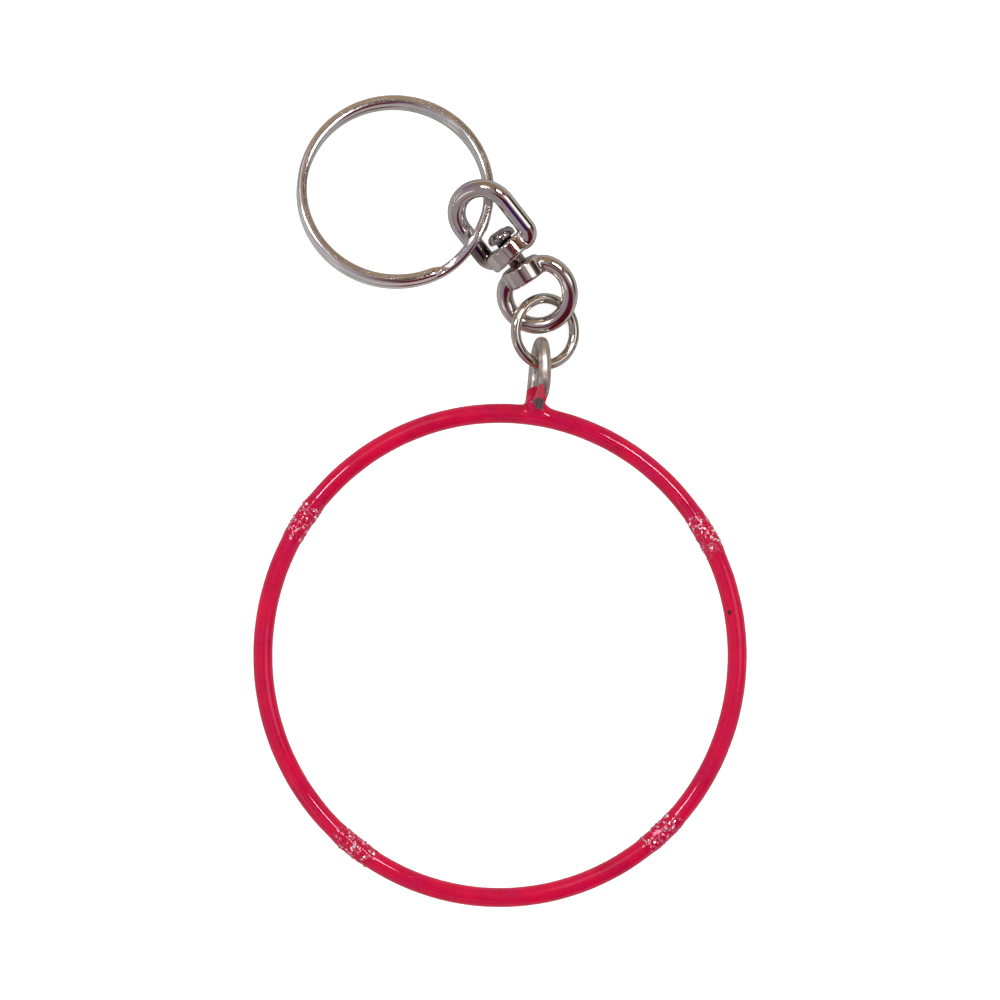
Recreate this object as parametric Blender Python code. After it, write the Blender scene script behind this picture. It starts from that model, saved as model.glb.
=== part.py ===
"""Key chain whose charm is a miniature rhythmic-gymnastics hoop.

The chain lies on a flat surface: +Z is up, the hoop is flat, and +Y runs from the hoop
towards the split ring. The origin is on the surface, under the middle of the bounding box.
A flat piece is built in its own XY plane and then placed by a plane_frame matrix.
"""

import math

import bmesh
import bpy
from mathutils import Matrix, Vector

MM = 0.001

# The middle of the hoop, and the places of the other pieces as seen from it.
HOOP_CENTRE = Vector((0.0, -19.75, 1.38)) * MM
EYE_CENTRE = HOOP_CENTRE + Vector((5.06, 36.16, 1.57)) * MM
SOLDER_CENTRE = HOOP_CENTRE + Vector((4.9, 31.9, 0.62)) * MM
LINK_CENTRE = HOOP_CENTRE + Vector((5.76, 41.47, 1.33)) * MM
LINK_PIVOT = HOOP_CENTRE + Vector((5.43, 37.24, 1.33)) * MM
LOWER_EYE_CENTRE = HOOP_CENTRE + Vector((4.74, 46.34, 1.88)) * MM
SPLIT_RING_CENTRE = HOOP_CENTRE + Vector((-13.38, 59.26, 3.61)) * MM

# Hoop: round wire, a little longer than wide.
HOOP_HALF_WIDTH = 30.37 * MM
HOOP_HALF_LENGTH = 31.00 * MM
HOOP_WIRE_RADIUS = 1.25 * MM
HOOP_STEPS = 96
HOOP_SIDES = 12

# Glitter bands: thin sleeves of varnish round the hoop wire, by the angle of their middles.
BAND_MIDDLES = (30.0, 146.0, 232.0, 313.0)
BAND_SPAN = 12.0
BAND_STEPS = 5
BAND_INNER_RADIUS = 1.29 * MM
BAND_OUTER_RADIUS = 1.38 * MM

# Hanging eye: one oval turn of wire that stands across the hoop, its two ends side by side.
EYE_WIRE_RADIUS = 0.78 * MM
EYE_HALF_LENGTH = 3.86 * MM
EYE_HALF_HEIGHT = 2.20 * MM
EYE_AZIMUTH = 87.0
EYE_ROLL = 78.0
EYE_START = 158.0
EYE_END = -190.0
EYE_PITCH = 0.80 * MM
EYE_STEPS = 40

# Solder round the foot of the eye.
SOLDER_HALF_SIZES = Vector((1.70, 1.15, 1.50)) * MM
SOLDER_GAP = 0.03 * MM
SOLDER_STEPS = 20
SOLDER_LEVELS = 12

# Jump link: a round ring of wire with a hair-thin butt joint, its left side raised.
LINK_RADIUS = 4.25 * MM
LINK_WIRE_RADIUS = 0.66 * MM
LINK_ROLL = -28.0
LINK_JOINT_ANGLE = 262.0
LINK_JOINT_GAP = 0.6
LINK_STEPS = 48

# Lower half of the swivel: a round eye flattened where it runs through its collar.
LOWER_AZIMUTH = 122.3
LOWER_PITCH = 7.0
LOWER_ROLL = 10.0
LOWER_EYE_RADIUS = 4.20 * MM
LOWER_WIRE_RADIUS = 1.05 * MM
LOWER_FLAT_HEIGHT = 3.38 * MM
LOWER_FLAT_SOFTNESS = 0.60 * MM
LOWER_COLLAR_RADIUS = 2.60 * MM
LOWER_COLLAR_START = 1.93 * MM
LOWER_COLLAR_END = 4.46 * MM
LOWER_BORE_START = 1.00 * MM
LOWER_BORE_END = 6.00 * MM
LOWER_STEPS = 48

# Rivet: the stem is pressed into the lower collar and runs loosely in the upper one.
RIVET_RADIUS = 1.10 * MM
RIVET_PRESS_GAP = 0.02 * MM
RIVET_HEAD_RADIUS = 1.85 * MM
RIVET_HEAD_START = 8.22 * MM
RIVET_HEAD_HEIGHT = 1.20 * MM
RIVET_HEAD_ROUNDING = 0.75 * MM
RIVET_HEAD_CROWN = 0.10 * MM
RIVET_ARC_STEPS = 4
RIVET_STEPS = 24

# Upper half of the swivel: a stirrup bow, bent up a little from the collar that runs on the rivet.
BOW_ALONG_RIVET = 6.52 * MM
BOW_AZIMUTH = 131.5
BOW_PITCH = 11.0
BOW_ROLL = 30.0
BOW_HALF_WIDTH = 3.72 * MM
BOW_SHIFT = 0.18 * MM
BOW_WIRE_RADIUS = 1.17 * MM
BOW_TOP_CENTRE = 5.80 * MM
BOW_TOP_RISE = 3.60 * MM
BOW_LEAN = 0.06
BOW_TOP_STEPS = 24
BOW_CORNER_RADIUS = 1.30 * MM
BOW_CORNER_STEPS = 6
BOW_COLLAR_PITCH = 2.0
BOW_COLLAR_RADIUS = 3.26 * MM
BOW_COLLAR_HEIGHT = 2.30 * MM
BOW_BORE_RADIUS = 1.50 * MM
BOW_BORE_REACH = 2.00 * MM

# Split ring: two turns of flat wire, and a crossover that climbs from one to the other.
RING_OUTER_RADIUS = 12.62 * MM
RING_WIRE_WIDTH = 1.30 * MM
RING_WIRE_HEIGHT = 1.50 * MM
RING_WIRE_CORNER = 0.32 * MM
RING_TURN_GAP = 0.10 * MM
RING_AZIMUTH = 77.0
RING_PITCH = -16.0
RING_CROSSOVER_START = 313.0
RING_CROSSOVER_SPAN = 32.0
RING_END_GAP = 2.0
RING_END_TAPER = 5.0
RING_END_SCALE = 0.72
RING_STEP = 4.5

COLLAR_CHAMFER = 0.25 * MM
COLLAR_STEPS = 32
WIRE_SIDES = 12
SHARP_ANGLE = math.radians(35.0)


def clear_scene():
    """Start from an empty scene."""
    for obj in list(bpy.data.objects):
        bpy.data.objects.remove(obj, do_unlink=True)


def make_material(name, colour, roughness, metallic):
    """Principled material with one colour."""
    material = bpy.data.materials.new(name)
    material.use_nodes = True
    shader = material.node_tree.nodes["Principled BSDF"]
    shader.inputs["Base Color"].default_value = (*colour, 1.0)
    shader.inputs["Roughness"].default_value = roughness
    shader.inputs["Metallic"].default_value = metallic
    return material


def plane_frame(centre, azimuth, pitch=0.0, roll=0.0):
    """Placement whose Y axis points along azimuth, raised by pitch, with X raised by roll."""
    turn = Matrix.Rotation(math.radians(azimuth - 90.0), 4, "Z")
    lift = Matrix.Rotation(math.radians(pitch), 4, "X")
    lean = Matrix.Rotation(math.radians(-roll), 4, "Y")
    return Matrix.Translation(centre) @ turn @ lift @ lean


def arc(centre_x, centre_y, radius, start, end, steps):
    """Points on an arc in the XY plane, from the start angle to the end angle in degrees."""
    points = []
    for step in range(steps + 1):
        angle = math.radians(start + (end - start) * step / steps)
        x = centre_x + radius * math.cos(angle)
        y = centre_y + radius * math.sin(angle)
        points.append(Vector((x, y, 0.0)))
    return points


def skin(sections, closed):
    """Faces between neighbouring sections, with caps at the ends of an open run."""
    mesh = bmesh.new()
    rings = [[mesh.verts.new(corner) for corner in section] for section in sections]
    pairs = list(zip(rings, rings[1:]))
    if closed:
        pairs.append((rings[-1], rings[0]))
    else:
        mesh.faces.new(rings[0])
        mesh.faces.new(rings[-1])
    for ring, following in pairs:
        for index in range(len(ring)):
            beside = (index + 1) % len(ring)
            mesh.faces.new((ring[index], ring[beside], following[beside], following[index]))
    bmesh.ops.recalc_face_normals(mesh, faces=mesh.faces)
    return mesh


def wire(points, radius, sides=WIRE_SIDES, closed=True):
    """Round wire along points that lie in or close to the XY plane."""
    sections = []
    count = len(points)
    for index, point in enumerate(points):
        before = points[index - 1] if closed or index > 0 else point
        after = points[(index + 1) % count] if closed or index < count - 1 else point
        tangent = (after - before).normalized()
        across = tangent.cross(Vector((0.0, 0.0, 1.0))).normalized()
        above = across.cross(tangent)
        angles = [math.tau * side / sides for side in range(sides)]
        sections.append([point + radius * (math.cos(a) * across + math.sin(a) * above) for a in angles])
    return skin(sections, closed)


def turned(profile, steps=COLLAR_STEPS):
    """Solid turned about the Y axis from (radius, height) points that start and end on it."""
    mesh = bmesh.new()
    outline = [mesh.verts.new((radius, height, 0.0)) for radius, height in profile]
    edges = [mesh.edges.new(pair) for pair in zip(outline, outline[1:])]
    bmesh.ops.spin(
        mesh, geom=outline + edges, cent=(0.0, 0.0, 0.0), axis=(0.0, 1.0, 0.0), angle=math.tau, steps=steps
    )
    bmesh.ops.remove_doubles(mesh, verts=mesh.verts, dist=0.001 * MM)
    bmesh.ops.recalc_face_normals(mesh, faces=mesh.faces)
    return mesh


def add_object(name, mesh, frame, material=None):
    """Object from a bmesh, placed by a matrix."""
    data = bpy.data.meshes.new(name)
    mesh.to_mesh(data)
    mesh.free()
    data.shade_smooth()
    data.set_sharp_from_angle(angle=SHARP_ANGLE)
    if material:
        data.materials.append(material)
    obj = bpy.data.objects.new(name, data)
    bpy.context.collection.objects.link(obj)
    obj.matrix_world = frame
    return obj


def apply_boolean(obj, operation, name, mesh, frame):
    """Join or cut an object with a hidden tool."""
    tool = add_object(name, mesh, frame)
    tool.hide_render = True
    tool.display_type = "WIRE"
    modifier = obj.modifiers.new(name, "BOOLEAN")
    modifier.operation = operation
    modifier.solver = "EXACT"
    modifier.object = tool


def hoop_point(angle):
    """Point on the hoop's centreline, from the hoop's own middle."""
    turn = math.radians(angle)
    return Vector((HOOP_HALF_WIDTH * math.cos(turn), HOOP_HALF_LENGTH * math.sin(turn), 0.0))


def hoop_wire(extra_radius=0.0):
    """The hoop's round wire, or a thicker copy of it that cuts its neighbours."""
    points = [hoop_point(360.0 * step / HOOP_STEPS) for step in range(HOOP_STEPS)]
    return wire(points, HOOP_WIRE_RADIUS + extra_radius, HOOP_SIDES)


def add_hoop(enamel):
    """The charm: a wire hoop."""
    add_object("hoop_ring", hoop_wire(), Matrix.Translation(HOOP_CENTRE), enamel)


def band_sleeve(middle):
    """Thin sleeve round the hoop's wire, open at both ends."""
    sections = []
    angles = [math.tau * side / HOOP_SIDES for side in range(HOOP_SIDES)]
    for step in range(BAND_STEPS + 1):
        turn = middle + BAND_SPAN * (step / BAND_STEPS - 0.5)
        point = hoop_point(turn)
        tangent = (hoop_point(turn + 1.0) - hoop_point(turn - 1.0)).normalized()
        across = tangent.cross(Vector((0.0, 0.0, 1.0)))
        spokes = [math.cos(a) * across + Vector((0.0, 0.0, math.sin(a))) for a in angles]
        sections.append((point, spokes))
    mesh = bmesh.new()
    grid = []
    for radius in (BAND_INNER_RADIUS, BAND_OUTER_RADIUS):
        rows = [[point + radius * spoke for spoke in spokes] for point, spokes in sections]
        grid.append([[mesh.verts.new(corner) for corner in row] for row in rows])
    inner, outer = grid
    rings = outer + inner[::-1]
    for ring, following in zip(rings, rings[1:] + rings[:1]):
        for index in range(HOOP_SIDES):
            beside = (index + 1) % HOOP_SIDES
            mesh.faces.new((ring[index], ring[beside], following[beside], following[index]))
    bmesh.ops.recalc_face_normals(mesh, faces=mesh.faces)
    return mesh


def add_glitter_bands(glitter):
    """Four bands of glitter varnish on the hoop."""
    for number, middle in enumerate(BAND_MIDDLES, start=1):
        add_object(f"glitter_band_{number}", band_sleeve(middle), Matrix.Translation(HOOP_CENTRE), glitter)


def eye_wire(extra=0.0):
    """One oval turn of wire, from its upper end round the top to the end beside it.

    The copy that cuts the solder is larger all round, and at both ends, by extra.
    """
    points = []
    overrun = extra / (EYE_HALF_HEIGHT * math.tau)
    for step in range(EYE_STEPS + 1):
        share = -overrun + (1.0 + 2.0 * overrun) * step / EYE_STEPS
        turn = math.radians(EYE_START + (EYE_END - EYE_START) * share)
        rise = EYE_PITCH * (share - 0.5)
        points.append(Vector((EYE_HALF_HEIGHT * math.sin(turn), EYE_HALF_LENGTH * math.cos(turn), rise)))
    return wire(points, EYE_WIRE_RADIUS + extra, closed=False)


def add_hanging_eye(steel):
    """The eye that the link passes through."""
    frame = plane_frame(EYE_CENTRE, EYE_AZIMUTH, roll=EYE_ROLL)
    add_object("hanging_eye", eye_wire(), frame, steel)


def add_solder(enamel):
    """Solder between the hoop and the foot of the eye, hollowed by both wires."""
    mesh = bmesh.new()
    bmesh.ops.create_uvsphere(mesh, u_segments=SOLDER_STEPS, v_segments=SOLDER_LEVELS, radius=1.0)
    bmesh.ops.scale(mesh, vec=SOLDER_HALF_SIZES, verts=mesh.verts)
    solder = add_object("solder_fillet", mesh, Matrix.Translation(SOLDER_CENTRE), enamel)
    hoop_frame = Matrix.Translation(HOOP_CENTRE)
    eye_frame = plane_frame(EYE_CENTRE, EYE_AZIMUTH, roll=EYE_ROLL)
    apply_boolean(solder, "DIFFERENCE", "hoop_cutter", hoop_wire(SOLDER_GAP), hoop_frame)
    apply_boolean(solder, "DIFFERENCE", "eye_cutter", eye_wire(SOLDER_GAP), eye_frame)


def add_link(nickel):
    """Jump link, hung from a pivot in the hanging eye."""
    start = LINK_JOINT_ANGLE + LINK_JOINT_GAP / 2.0
    points = arc(0.0, 0.0, LINK_RADIUS, start, start + 360.0 - LINK_JOINT_GAP, LINK_STEPS)
    frame = plane_frame(LINK_CENTRE, 90.0, roll=LINK_ROLL)
    link = add_object("connecting_link", wire(points, LINK_WIRE_RADIUS, closed=False), frame, nickel)
    pivot = bpy.data.objects.new("link_pivot", None)
    bpy.context.collection.objects.link(pivot)
    pivot.location = LINK_PIVOT
    link.parent = pivot
    link.matrix_parent_inverse = Matrix.Translation(LINK_PIVOT).inverted()


def collar(radius, start, end):
    """Solid collar along Y with chamfered rims."""
    flat = radius - COLLAR_CHAMFER
    profile = [(0.0, start), (flat, start), (radius, start + COLLAR_CHAMFER)]
    profile += [(radius, end - COLLAR_CHAMFER), (flat, end), (0.0, end)]
    return turned(profile)


def plain_cylinder(radius, start, end):
    """Cylinder along Y that cuts a bore."""
    return turned([(0.0, start), (radius, start), (radius, end), (0.0, end)])


def lower_swivel_frame():
    """Placement of the lower half of the swivel, by the middle of its eye."""
    return plane_frame(LOWER_EYE_CENTRE, LOWER_AZIMUTH, LOWER_PITCH, LOWER_ROLL)


def add_lower_eye(nickel):
    """Round eye and collar in one piece, bored for the rivet."""
    points = arc(0.0, 0.0, LOWER_EYE_RADIUS, 0.0, 360.0, LOWER_STEPS)[:-1]
    for point in points:
        above = point.y - LOWER_FLAT_HEIGHT
        point.y = (point.y + LOWER_FLAT_HEIGHT - math.hypot(above, LOWER_FLAT_SOFTNESS)) / 2.0
    frame = lower_swivel_frame()
    eye = add_object("lower_swivel_eye", wire(points, LOWER_WIRE_RADIUS), frame, nickel)
    body = collar(LOWER_COLLAR_RADIUS, LOWER_COLLAR_START, LOWER_COLLAR_END)
    apply_boolean(eye, "UNION", "lower_collar", body, frame)
    bore = plain_cylinder(RIVET_RADIUS + RIVET_PRESS_GAP, LOWER_BORE_START, LOWER_BORE_END)
    apply_boolean(eye, "DIFFERENCE", "lower_bore", bore, frame)


def add_rivet(nickel):
    """Stem flush with the lower collar, and a round head inside the bow."""
    top = RIVET_HEAD_START + RIVET_HEAD_HEIGHT
    shoulder = top - RIVET_HEAD_ROUNDING
    crown = RIVET_HEAD_RADIUS - RIVET_HEAD_ROUNDING
    profile = [(0.0, LOWER_COLLAR_START), (RIVET_RADIUS, LOWER_COLLAR_START)]
    profile += [(RIVET_RADIUS, RIVET_HEAD_START), (RIVET_HEAD_RADIUS, RIVET_HEAD_START)]
    rim = arc(crown, shoulder, RIVET_HEAD_ROUNDING, 0.0, 90.0, RIVET_ARC_STEPS)
    profile += [(point.x, point.y) for point in rim]
    profile.append((0.0, top + RIVET_HEAD_CROWN))
    add_object("swivel_rivet", turned(profile, RIVET_STEPS), lower_swivel_frame(), nickel)


def top_point(angle):
    """Point on the flattened arc over the top of the bow."""
    turn = math.radians(angle)
    height = BOW_TOP_CENTRE + BOW_TOP_RISE * math.sin(turn)
    return Vector((BOW_HALF_WIDTH * math.cos(turn), height, 0.0))


def bow_points():
    """Centreline of the bow, from the middle of its collar up the right leg and down the left."""
    corner = BOW_HALF_WIDTH - BOW_CORNER_RADIUS
    points = arc(corner, BOW_CORNER_RADIUS, BOW_CORNER_RADIUS, 270.0, 360.0, BOW_CORNER_STEPS)
    points += [top_point(180.0 * step / BOW_TOP_STEPS) for step in range(BOW_TOP_STEPS + 1)]
    points += arc(-corner, BOW_CORNER_RADIUS, BOW_CORNER_RADIUS, 180.0, 270.0, BOW_CORNER_STEPS)
    for point in points:
        point.x += BOW_SHIFT + BOW_LEAN * point.y
    return points


def add_bow(nickel):
    """Stirrup bow and collar in one piece, with a loose bore."""
    centre = lower_swivel_frame() @ Vector((0.0, BOW_ALONG_RIVET, 0.0))
    frame = plane_frame(centre, BOW_AZIMUTH, BOW_PITCH, BOW_ROLL)
    collar_frame = plane_frame(centre, BOW_AZIMUTH, BOW_COLLAR_PITCH, BOW_ROLL)
    bow = add_object("upper_swivel_bow", wire(bow_points(), BOW_WIRE_RADIUS), frame, nickel)
    half = BOW_COLLAR_HEIGHT / 2.0
    apply_boolean(bow, "UNION", "bow_collar", collar(BOW_COLLAR_RADIUS, -half, half), collar_frame)
    bore = plain_cylinder(BOW_BORE_RADIUS, -BOW_BORE_REACH, BOW_BORE_REACH)
    apply_boolean(bow, "DIFFERENCE", "bow_bore", bore, collar_frame)


def ring_wire_outline():
    """Outline of the flat wire, as (outward, upward) distances from its middle."""
    half_width = RING_WIRE_WIDTH / 2.0
    half_height = RING_WIRE_HEIGHT / 2.0
    outline = []
    for side_x, side_y in ((1, -1), (1, 1), (-1, 1), (-1, -1)):
        near_x = (side_x * (half_width - RING_WIRE_CORNER), side_y * half_height)
        near_y = (side_x * half_width, side_y * (half_height - RING_WIRE_CORNER))
        outline += [near_x, near_y] if side_x == -side_y else [near_y, near_x]
    return outline


def smooth_step(share):
    """Rise from 0 to 1 that starts and ends level."""
    share = min(max(share, 0.0), 1.0)
    return share * share * (3.0 - 2.0 * share)


def ring_sections():
    """Sections of the flat wire: a lower turn, the crossover and an upper turn."""
    start = RING_CROSSOVER_START + RING_CROSSOVER_SPAN + RING_END_GAP
    turn_span = 360.0 - RING_CROSSOVER_SPAN - RING_END_GAP
    total = 2.0 * turn_span + RING_CROSSOVER_SPAN
    level = (RING_WIRE_HEIGHT + RING_TURN_GAP) / 2.0
    middle_radius = RING_OUTER_RADIUS - RING_WIRE_WIDTH / 2.0
    steps = round(total / RING_STEP)
    outline = ring_wire_outline()
    sections = []
    for step in range(steps + 1):
        travelled = total * step / steps
        climb = smooth_step((travelled - turn_span) / RING_CROSSOVER_SPAN)
        from_end = min(travelled, total - travelled)
        scale = RING_END_SCALE + (1.0 - RING_END_SCALE) * smooth_step(from_end / RING_END_TAPER)
        angle = math.radians(start + travelled)
        outward = Vector((math.cos(angle), math.sin(angle), 0.0))
        height = level * (2.0 * climb - 1.0)
        section = []
        for across, above in outline:
            corner = outward * (middle_radius + scale * across)
            corner.z = height + scale * above
            section.append(corner)
        sections.append(section)
    return sections


def add_split_ring(nickel):
    """Ring that carries the keys, resting on the surface and on the bow."""
    frame = plane_frame(SPLIT_RING_CENTRE, RING_AZIMUTH, RING_PITCH)
    add_object("split_ring", skin(ring_sections(), closed=False), frame, nickel)


def build():
    """The whole key chain."""
    clear_scene()
    enamel = make_material("crimson_enamel", (0.59, 0.010, 0.060), 0.18, 0.0)
    glitter = make_material("glitter_varnish", (0.72, 0.60, 0.62), 0.35, 0.6)
    steel = make_material("dull_steel", (0.48, 0.46, 0.42), 0.42, 1.0)
    nickel = make_material("nickel_plate", (0.70, 0.66, 0.63), 0.12, 1.0)
    add_hoop(enamel)
    add_glitter_bands(glitter)
    add_hanging_eye(steel)
    add_solder(enamel)
    add_link(nickel)
    add_lower_eye(nickel)
    add_rivet(nickel)
    add_bow(nickel)
    add_split_ring(nickel)


build()
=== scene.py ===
"""Looks of the key chain with a miniature rhythmic hoop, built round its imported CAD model.

Lengths are millimetres until add_piece turns them into metres. A flat piece is modelled in its
own XY plane and then placed by a plane_frame matrix, as in the CAD model.
"""

import math

import bpy
import numpy as np
from mathutils import Matrix, Vector


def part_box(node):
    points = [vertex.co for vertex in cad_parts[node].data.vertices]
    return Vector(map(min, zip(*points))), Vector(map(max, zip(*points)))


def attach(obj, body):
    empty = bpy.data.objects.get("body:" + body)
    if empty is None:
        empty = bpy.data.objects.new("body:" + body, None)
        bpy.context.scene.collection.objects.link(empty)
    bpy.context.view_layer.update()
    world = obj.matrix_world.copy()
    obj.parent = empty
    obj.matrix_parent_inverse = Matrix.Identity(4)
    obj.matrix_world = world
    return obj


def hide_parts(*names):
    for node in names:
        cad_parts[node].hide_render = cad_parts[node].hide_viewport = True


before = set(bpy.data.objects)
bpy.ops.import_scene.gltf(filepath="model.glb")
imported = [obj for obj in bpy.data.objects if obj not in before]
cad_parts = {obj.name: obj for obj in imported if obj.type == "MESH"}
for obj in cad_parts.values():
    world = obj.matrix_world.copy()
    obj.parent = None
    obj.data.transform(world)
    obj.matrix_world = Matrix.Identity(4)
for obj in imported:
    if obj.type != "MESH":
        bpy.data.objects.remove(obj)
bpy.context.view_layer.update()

MM = 0.001


def box_centre(node):
    """Middle of a CAD node's box, in millimetres."""
    low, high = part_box(node)
    return (Vector(low) + Vector(high)) / (2.0 * MM)


# The middle of the hoop, and the places of the other pieces as seen from it.
HOOP_CENTRE = box_centre("hoop_ring")
EYE_CENTRE = HOOP_CENTRE + Vector((5.06, 36.16, 1.57))
LINK_CENTRE = HOOP_CENTRE + Vector((5.76, 41.47, 1.33))
LOWER_EYE_CENTRE = HOOP_CENTRE + Vector((4.74, 46.34, 1.88))
SPLIT_RING_CENTRE = HOOP_CENTRE + Vector((-13.38, 59.26, 3.61))

# Hoop: round wire, a little longer than wide, with a dark chip in its enamel.
HOOP_HALF_WIDTH = 30.37
HOOP_HALF_LENGTH = 31.00
HOOP_WIRE_RADIUS = 1.25
HOOP_STEPS = 900
HOOP_SIDES = 48
ENAMEL_WAVE = 0.012
CHIP_ALONG = 10.4
CHIP_AROUND = 115.0
CHIP_RADIUS = 0.42
CHIP_RAGGEDNESS = 0.12
CHIP_CORE = 0.75

# Glitter bands, by the angle of their middles.
BAND_MIDDLES = (30.0, 146.0, 232.0, 313.0)
BAND_SPAN = 12.0
BAND_STEPS = 90
BAND_SIDES = 60
BAND_THICKNESS = 0.07
BAND_ROOT = 0.03
GLITTER_SEED = 7
FLAKES_PER_BAND = 300
FLAKE_CORNERS = 6
FLAKE_SIZES = (0.09, 0.26)
FLAKE_LIFTS = (0.7, 1.25)
FLAKE_SPREAD = 1.04
FLAKE_DEPTH = 0.4
FLAKE_TILT = 0.30
FLAKE_TINTS = (
    (1.00, 0.96, 0.98),
    (0.90, 0.34, 0.46),
    (0.80, 0.16, 0.28),
    (0.70, 0.08, 0.16),
    (0.64, 0.05, 0.11),
    (0.68, 0.64, 0.60),
    (0.62, 0.26, 0.46),
)

# Hanging eye: one oval turn of wire whose upper end runs out straight and is cut at a slant.
EYE_WIRE_RADIUS = 0.78
EYE_HALF_LENGTH = 3.86
EYE_HALF_HEIGHT = 2.20
EYE_AZIMUTH = 87.0
EYE_ROLL = 78.0
EYE_START = 158.0
EYE_STRAIGHT_FROM = 128.0
EYE_STRAIGHT_SCALE = 1.42
EYE_END_LEAN = 0.40
EYE_END = -180.0
EYE_PITCH = 0.80
EYE_STEPS = 260
EYE_CUT_NORMAL = Vector((0.62, -0.66, 0.42)).normalized()
EYE_CUT_BACK = 0.42
EYE_FOOT_LEAN = 0.30
EYE_SHARP_ANGLE = 40.0

# Solder under the foot of the eye, enamelled over.
SOLDER_MIDDLE = HOOP_CENTRE + Vector((4.9, 31.9, 0.62))
SOLDER_LOW = HOOP_CENTRE + Vector((4.75, 31.9, 0.2))
SOLDER_HIGH = HOOP_CENTRE + Vector((4.9, 32.5, 0.7))
SOLDER_RADIUS = 0.80
SOLDER_REACH = 3.1
SOLDER_HOLLOW = 0.86
SOLDER_BLEND = 1.5
SOLDER_CELL = 0.08
SOLDER_RIPPLE = 0.05
SOLDER_FADE = 0.6
SOLDER_HOOP_ANGLES = range(66, 97)
HOOP_COAT = 0.055
FOOT_COAT = 0.04

# Where the enamel ends on the eye's wire: how far along the chain it runs up the lower wire, the
# upper wire and the upper wire's side, and how ragged its rim is.
PAINT_LOWER_END = 14.2
PAINT_UPPER_END = 14.9
PAINT_SIDE_END = 13.4
PAINT_SIDE_SPAN = (0.45, 0.75)
PAINT_LEVEL_SOFTNESS = 0.05
PAINT_RAGGEDNESS = 1.1
PAINT_RIM = (0.60, 0.54)

# Jump link.
LINK_RADIUS = 4.25
LINK_WIRE_RADIUS = 0.66
LINK_ROLL = -28.0
LINK_STEPS = 420
LINK_JOINT_ANGLE = 262.0
LINK_JOINT_GAP = 0.6
LINK_JOINT_GROOVE = 0.10

# Lower half of the swivel.
LOWER_AZIMUTH = 122.3
LOWER_PITCH = 7.0
LOWER_ROLL = 10.0
LOWER_EYE_RADIUS = 4.20
LOWER_WIRE_RADIUS = 1.05
LOWER_FLAT_HEIGHT = 3.38
LOWER_FLAT_SOFTNESS = 0.60
LOWER_EYE_POINTS = 181
LOWER_COLLAR_RADIUS = 2.60
LOWER_COLLAR_START = 1.93
LOWER_COLLAR_END = 4.46
LOWER_BORE_START = 1.0
LOWER_BORE_END = 6.0

# Rivet.
RIVET_RADIUS = 1.10
RIVET_PRESS_GAP = 0.02
RIVET_HEAD_RADIUS = 1.85
RIVET_HEAD_START = 8.22
RIVET_HEAD_HEIGHT = 1.20
RIVET_HEAD_ROUNDING = 0.75
RIVET_EDGE = 0.08
RIVET_NECK_WIDTH = 0.04
RIVET_NECK_HEIGHT = 0.06
RIVET_HEAD_EDGE = 0.10
RIVET_CROWN_HEIGHT = 0.10
RIVET_DENTS = 0.06
RIVET_AXIS_RADIUS = 0.01
RIVET_ROUNDING_STEPS = 12
RIVET_SIDES = 96

# Upper half of the swivel.
BOW_ALONG_RIVET = 6.52
BOW_AZIMUTH = 131.5
BOW_PITCH = 11.0
BOW_ROLL = 30.0
BOW_HALF_WIDTH = 3.72
BOW_SHIFT = 0.18
BOW_WIRE_RADIUS = 1.17
BOW_TOP_CENTRE = 5.80
BOW_TOP_RISE = 3.60
BOW_LEAN = 0.06
BOW_CORNER_RADIUS = 1.30
BOW_COLLAR_RADIUS = 3.26
BOW_COLLAR_PITCH = 2.0
BOW_COLLAR_HEIGHT = 2.30
BOW_BORE_RADIUS = 1.50
BOW_BORE_REACH = 2.0
BOW_CORNER_STEPS = 20
BOW_TOP_STEPS = 100

# Painted shade in the swivel's corners, where its parts shadow each other: by the rivet's head, in the gap
# between the collars and at the foot of the bow's west leg, as (along the rivet, across it, radius).
CREASE_SHADE_SPOTS = ((8.5, 0.0, 3.3), (5.4, 0.0, 2.3), (8.2, -3.4, 2.6))
CREASE_SHADE_RAGGEDNESS = 0.9
CREASE_SHADE_CORE = 0.55
CREASE_SHADE_STRENGTH = 0.85
CREASE_SHADE_COLOUR = (0.13, 0.105, 0.075)

# Castings, which are surfaces where a field is zero.
COLLAR_CHAMFER = 0.25
CAST_BLEND = 0.35
EDGE_BLEND = 0.10
CAST_CELL = 0.07
CAST_MARGIN = 0.3
GRADIENT_STEP = 0.01

# Split ring: two turns of flat wire.
RING_OUTER_RADIUS = 12.62
RING_WIRE_WIDTH = 1.30
RING_WIRE_HEIGHT = 1.50
RING_WIRE_CORNER = 0.42
RING_TURN_GAP = 0.10
RING_AZIMUTH = 77.0
RING_PITCH = -16.0
RING_CROSSOVER_START = 313.0
RING_CROSSOVER_SPAN = 32.0
RING_END_GAP = 2.0
RING_END_TAPER = 5.0
RING_END_SCALE = 0.72
RING_STEP = 0.8
RING_CORNER_STEPS = 7

WIRE_SIDES = 40
SHARP_ANGLE = 50.0

# Camera over the middle of the chain, far enough away to see it almost without perspective.
VIEW_WIDTH = 128.0
VIEW_CENTRE = Vector((0.0, 0.154, 2.0))
CAMERA_DISTANCE = 1400.0
CAMERA_NEAR = 50.0
CAMERA_FAR = 20000.0
SENSOR_WIDTH = 36.0
FLOOR_SIZE = 4000.0
FLOOR_GLOW = 0.55


# ---------------------------------------------------------------- mesh tools


def plane_frame(centre, azimuth, pitch=0.0, roll=0.0):
    """Placement whose Y axis points along azimuth, raised by pitch, with X raised by roll."""
    turn = Matrix.Rotation(math.radians(azimuth - 90.0), 4, "Z")
    lift = Matrix.Rotation(math.radians(pitch), 4, "X")
    lean = Matrix.Rotation(math.radians(-roll), 4, "Y")
    return Matrix.Translation(centre) @ turn @ lift @ lean


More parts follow.
